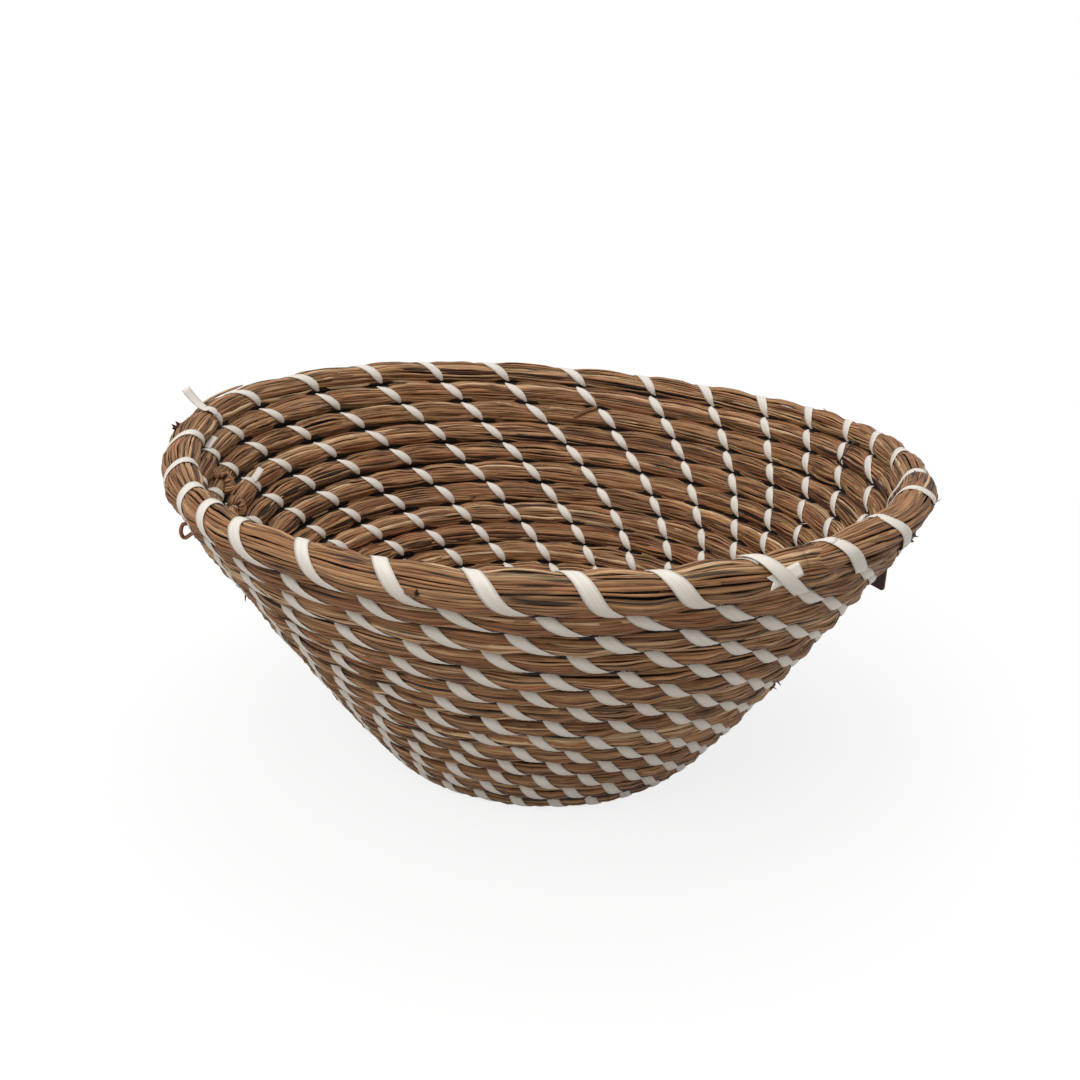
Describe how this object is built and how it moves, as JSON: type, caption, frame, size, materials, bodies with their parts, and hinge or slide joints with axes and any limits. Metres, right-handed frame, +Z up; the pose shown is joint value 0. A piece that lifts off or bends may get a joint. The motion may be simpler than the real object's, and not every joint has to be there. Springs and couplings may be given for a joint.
{
  "type": "woven grass bowl",
  "caption": "Round coiled basket bowl with flaring walls of bundled dried grass lashed with flat off-white plastic ribbon, and a small bare hang tag under the rim.",
  "frame": {"origin": "middle of the whole object's extent in X and Y, at table level; the bowl's own axis stands 5 mm toward +X and 2 mm toward -Y of it", "axes": "+Z up out of the bowl's mouth; the picture looks along +Y, with +X to its right, where the hang tag is"},
  "size_m": [0.3112, 0.2994, 0.1383],
  "materials": {
    "grass": "dried grass stalks, matt with a faint sheen",
    "ribbon": "off-white flat plastic ribbon, soft sheen",
    "loop_cord": "thin dark cord",
    "card": "bare dark taupe card, matt"
  },
  "bodies": {
    "bowl": {"grass_coil": "grass", "ribbon_row_01": "ribbon", "ribbon_row_02": "ribbon", "ribbon_row_03": "ribbon", "ribbon_row_04": "ribbon", "ribbon_row_05": "ribbon", "ribbon_row_06": "ribbon", "ribbon_row_07": "ribbon", "ribbon_row_08": "ribbon", "ribbon_row_09": "ribbon", "ribbon_row_10": "ribbon", "ribbon_row_11": "ribbon", "ribbon_row_12": "ribbon", "ribbon_row_13": "ribbon", "ribbon_tail": "ribbon", "tag_loop": "loop_cord"},
    "tag": {"hang_tag": "card"}
  },
  "joints": [
    {"name": "tag_swing", "type": "hinge", "parent": "bowl", "child": "tag", "pos_m": [0.14977, 0.03635, 0.09842], "axis": [0.8987, 0.4385, 0], "range_deg": [-50, 50]}
  ]
}
